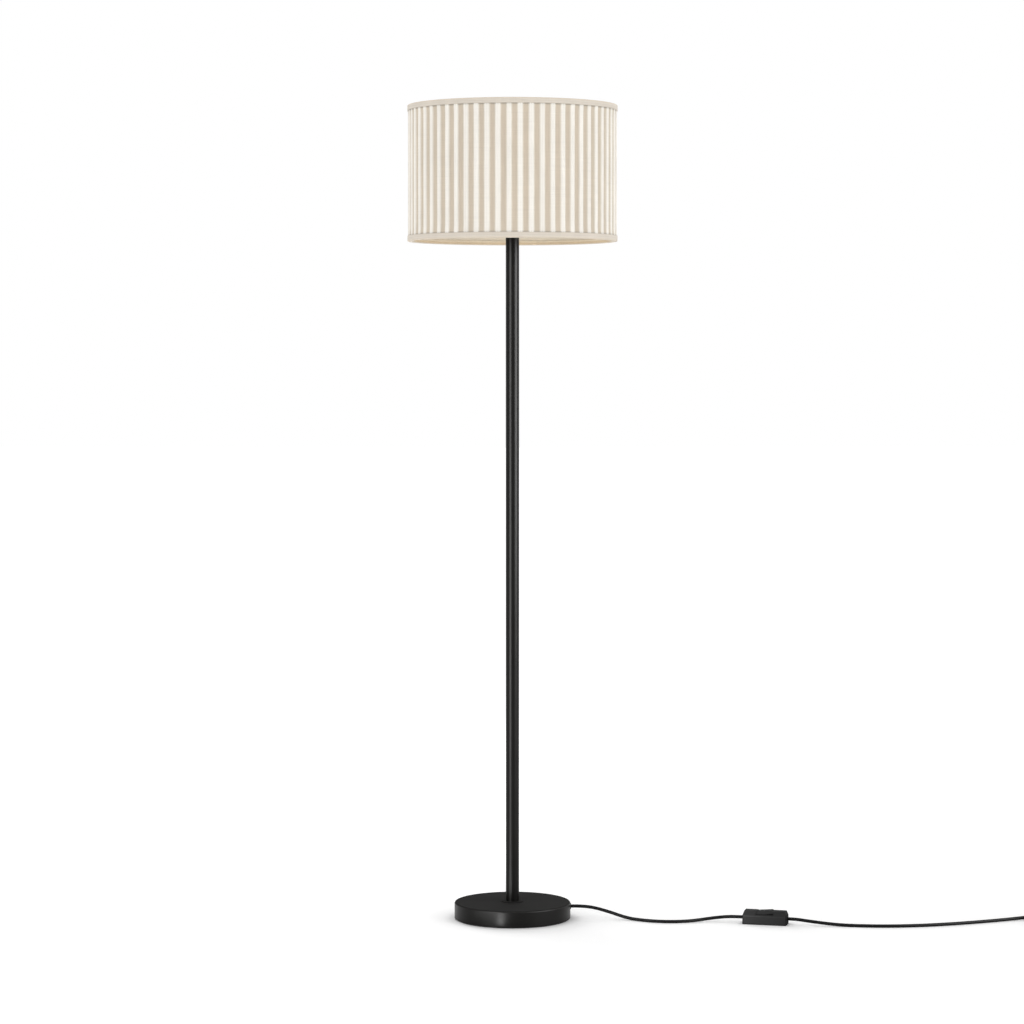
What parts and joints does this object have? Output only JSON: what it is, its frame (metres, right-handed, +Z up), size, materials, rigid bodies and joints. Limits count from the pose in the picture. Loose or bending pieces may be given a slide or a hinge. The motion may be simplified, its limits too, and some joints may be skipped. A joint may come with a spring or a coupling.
{
  "type": "floor lamp",
  "caption": "Floor lamp with a pleated drum shade on a slim black tube pole and a disc base, with an inline rocker switch on its cord.",
  "frame": {"origin": "centre of the base's underside, on the floor", "axes": "+Z up along the pole, -Y to the front, +X to the side that the cord leaves by"},
  "size_m": [1.2654, 0.38, 1.475],
  "materials": {
    "black_powder_coat": "satin black powder coat",
    "black_plastic": "moulded, fine grain",
    "switch_plastic": "moulded, satin",
    "cord_sheath": "smooth round PVC sheath",
    "foam_pad": "closed-cell foam",
    "cast_iron": "as cast",
    "zinc_steel": "zinc-plated",
    "brass_parts": "plain",
    "ceramic_insert": "unglazed steatite",
    "white_wire": "white epoxy coat",
    "pleated_cloth": "woven linen-cotton, ironed pleats",
    "trim_tape": "ribbed tape",
    "shade_liner": "cotton laminated on a stiff film",
    "opal_glass": "opal",
    "bulb_plastic": "white",
    "nickel_cap": "nickel-plated",
    "tip_glass": "black glass bead",
    "grip_plastic": "nylon"
  },
  "bodies": {
    "lamp": {"base_pad": "foam_pad", "base_cover": "black_powder_coat", "base_weight": "cast_iron", "base_washer": "zinc_steel", "base_nut": "brass_parts", "base_stud": "zinc_steel", "cord_bush": "black_plastic", "cord_clamp": "black_plastic", "cord_clamp_screws": "zinc_steel", "inner_cord": "cord_sheath", "pole_foot_ring": "black_powder_coat", "pole_foot_plug": "zinc_steel", "pole_lower": "black_powder_coat", "pole_coupler_lower": "zinc_steel", "pole_middle": "black_powder_coat", "pole_coupler_upper": "zinc_steel", "pole_upper": "black_powder_coat", "pole_top_plug": "black_powder_coat", "pole_top_nipple": "zinc_steel", "lampholder_cap": "black_plastic", "lampholder_insulator": "ceramic_insert", "lampholder_skirt": "black_plastic", "lampholder_screw_shell": "brass_parts", "lampholder_contact": "brass_parts", "lampholder_screws": "brass_parts", "shade_ring_lower": "black_plastic", "shade_ring_upper": "black_plastic", "bulb_tip": "tip_glass", "bulb_cap": "nickel_cap", "bulb_body": "bulb_plastic", "bulb_globe": "opal_glass", "shade_fitter": "white_wire", "shade_top_ring": "white_wire", "shade_bottom_ring": "white_wire", "shade_liner": "shade_liner", "shade_cover": "pleated_cloth", "shade_top_trim": "trim_tape", "shade_bottom_trim": "trim_tape", "cord_to_switch": "cord_sheath", "switch_lower_case": "switch_plastic", "switch_upper_case": "switch_plastic", "switch_contacts": "brass_parts", "switch_neutral_link": "brass_parts", "switch_detent_spring": "zinc_steel", "switch_cord_clamps": "grip_plastic", "switch_screws": "zinc_steel", "cord_from_switch": "cord_sheath", "cord_coil": "cord_sheath", "cord_tie": "black_plastic", "cord_to_plug": "cord_sheath", "plug_strain_relief": "black_plastic", "plug_body": "black_plastic", "plug_pins": "zinc_steel", "plug_pin_sleeves": "black_plastic"},
    "rocker": {"switch_rocker": "switch_plastic", "switch_bridge": "brass_parts"}
  },
  "joints": [
    {"name": "rocker_tilt", "type": "hinge", "parent": "lamp", "child": "rocker", "pos_m": [0.456, -0.057, 0.015], "axis": [0.2419, 0.9703, 0], "range_deg": [0, 9]}
  ]
}
